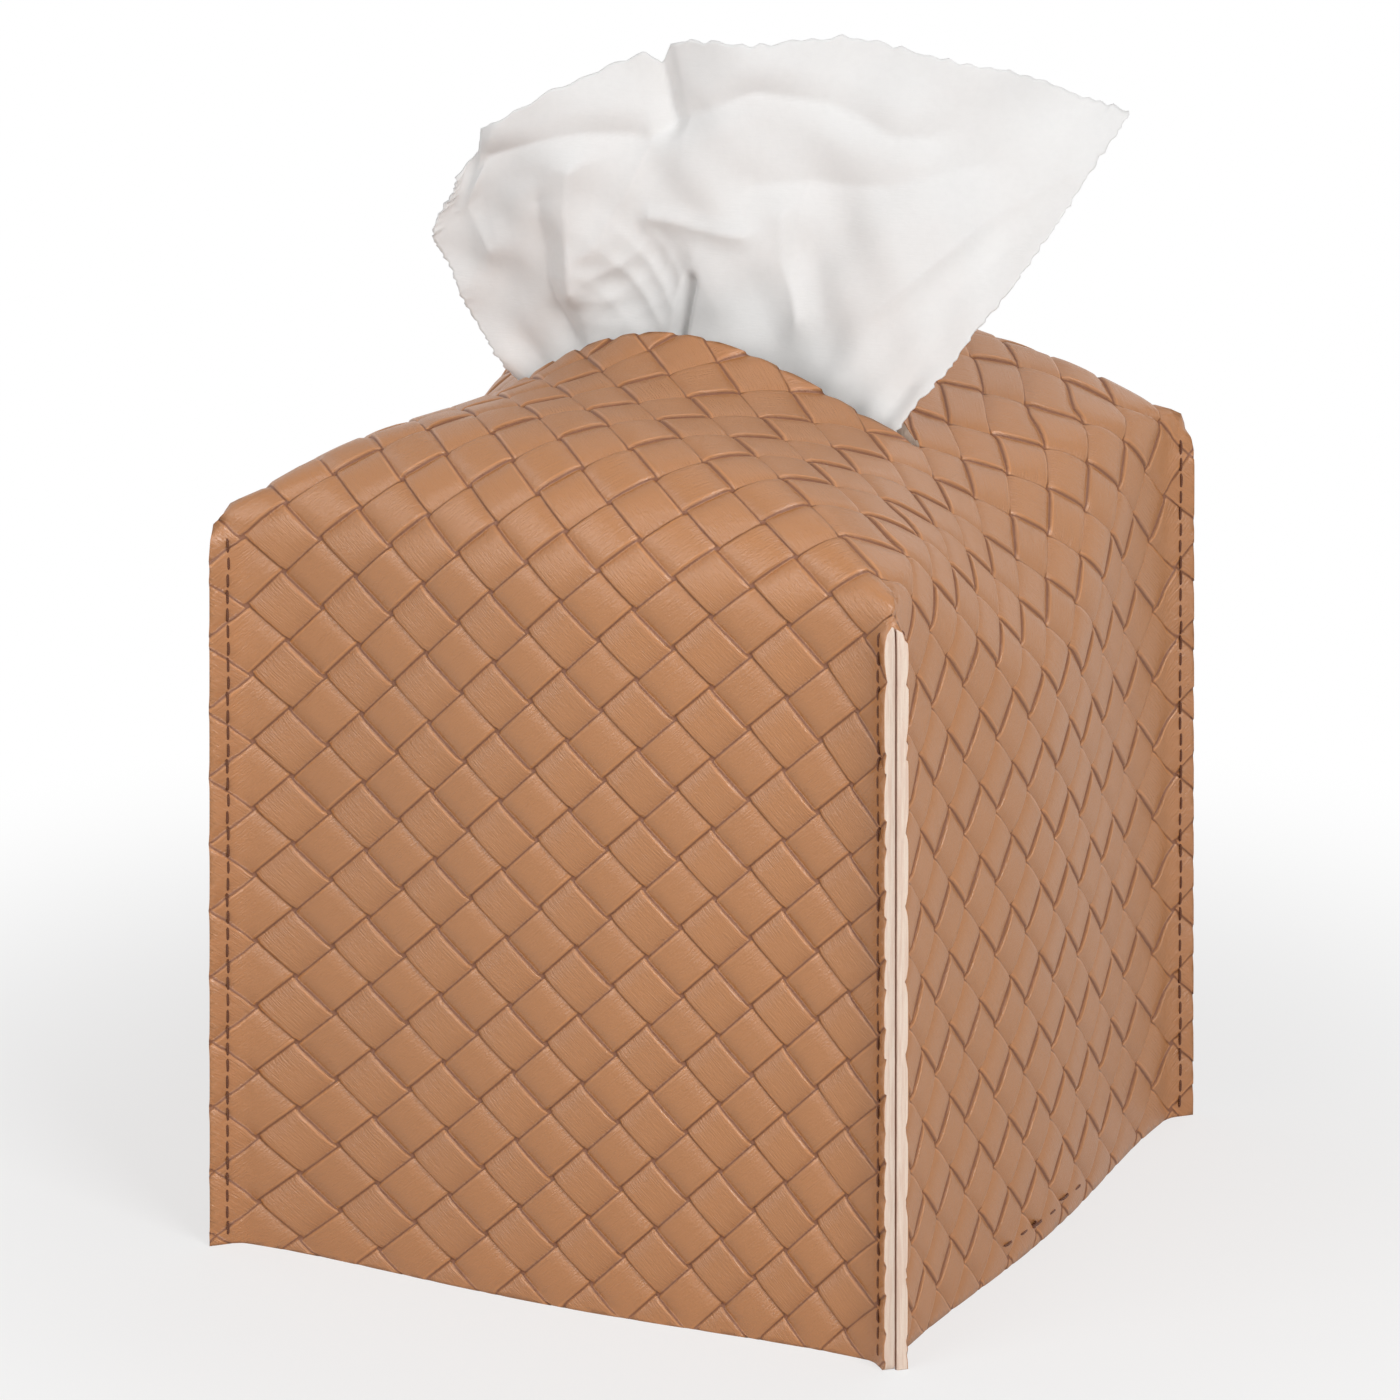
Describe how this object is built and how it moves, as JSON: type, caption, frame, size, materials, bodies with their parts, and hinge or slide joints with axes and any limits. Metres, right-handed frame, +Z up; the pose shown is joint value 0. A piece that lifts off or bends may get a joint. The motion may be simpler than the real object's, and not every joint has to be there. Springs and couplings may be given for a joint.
{
  "type": "tissue box cover",
  "caption": "Square tissue box cover in tan weave-embossed leather, open underneath, with a domed top, a slot with a tissue, flanged corner seams and bottom belts.",
  "frame": {"origin": "centre of the bounding box's bottom face, level with the panels' lower edges", "axes": "+Z up, -Y towards the front panel, +X towards the right panel, the slot runs along X"},
  "size_m": [0.133, 0.133, 0.2034],
  "materials": {
    "leather": "satin",
    "lining": "matte",
    "thread": "matte",
    "belt": "satin",
    "hook_tape": "matte",
    "loop_tape": "matte",
    "tissue": "matte"
  },
  "bodies": {
    "cover": {"leather_cover": "leather", "lining": "lining", "front_left_seam": "thread", "front_right_seam": "thread", "back_right_seam": "thread", "back_left_seam": "thread", "right_belt_tab": "belt", "left_belt_tab": "belt", "right_belt_stitches": "thread", "left_belt_stitches": "thread"},
    "lower_belt": {"right_belt": "belt", "hook_patch": "hook_tape", "hook_patch_stitches": "thread"},
    "upper_belt": {"left_belt": "belt", "loop_patch": "loop_tape", "loop_patch_stitches": "thread"},
    "tissue_sheet": {"tissue": "tissue"}
  },
  "joints": [
    {"name": "lower_belt_fold", "type": "hinge", "parent": "cover", "child": "lower_belt", "pos_m": [0.05968, 0, 0.0017], "axis": [0, -1, 0], "range_deg": [0, 90]},
    {"name": "upper_belt_fold", "type": "hinge", "parent": "cover", "child": "upper_belt", "pos_m": [-0.05968, 0, 0.0054], "axis": [0, 1, 0], "range_deg": [0, 54]},
    {"name": "tissue_pull", "type": "slide", "parent": "cover", "child": "tissue_sheet", "axis": [0, 0, 1], "range_m": [0, 0.05]}
  ],
  "couplings": [
    {"joint": "upper_belt_fold", "follows": "lower_belt_fold", "ratio": 0.6}
  ]
}
